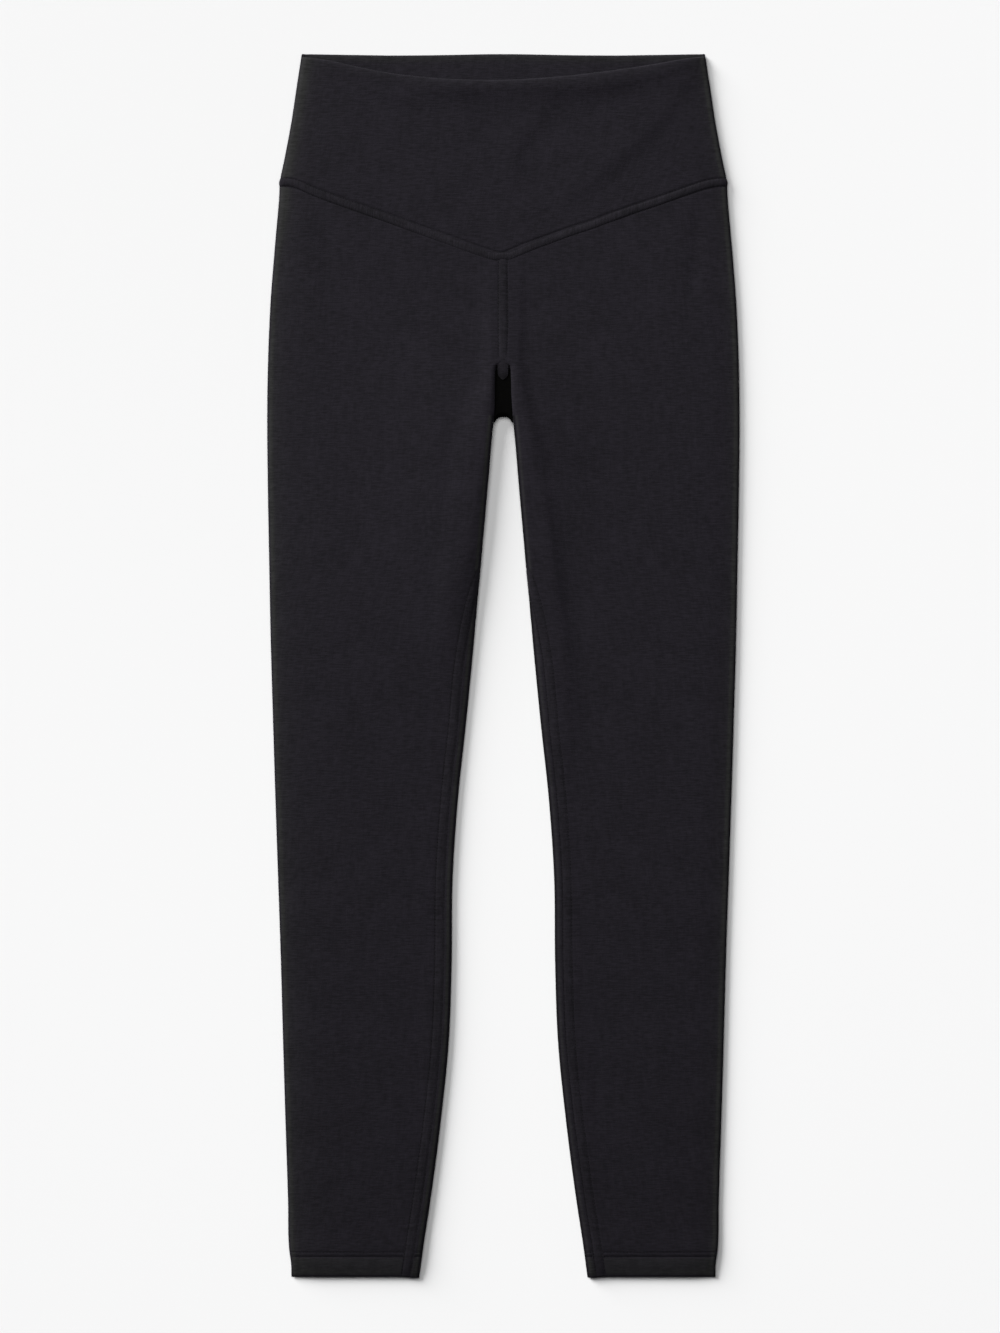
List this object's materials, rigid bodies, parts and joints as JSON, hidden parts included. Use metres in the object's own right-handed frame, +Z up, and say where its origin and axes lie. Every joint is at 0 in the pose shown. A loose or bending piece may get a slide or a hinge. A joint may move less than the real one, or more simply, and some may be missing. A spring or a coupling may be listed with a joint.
{
  "type": "leggings laid flat",
  "caption": "High-waisted full-length leggings laid flat, front up, with a V-seamed waistband, crotch gusset and turned hems.",
  "frame": {"origin": "centre of the garment's outline on the surface it lies on", "axes": "+Y towards the waist, +X towards the wearer's left, +Z up off the surface, out of the front"},
  "size_m": [0.3682, 0.9537, 0.0063],
  "materials": {
    "leg_jersey": "matte brushed knit",
    "band_jersey": "matte brushed knit, doubled",
    "gusset_jersey": "matte plain knit"
  },
  "bodies": {
    "root": {"leg_left": "leg_jersey", "leg_right": "leg_jersey", "gusset": "gusset_jersey", "waistband_front": "band_jersey", "waistband_back": "band_jersey"}
  },
  "joints": []
}
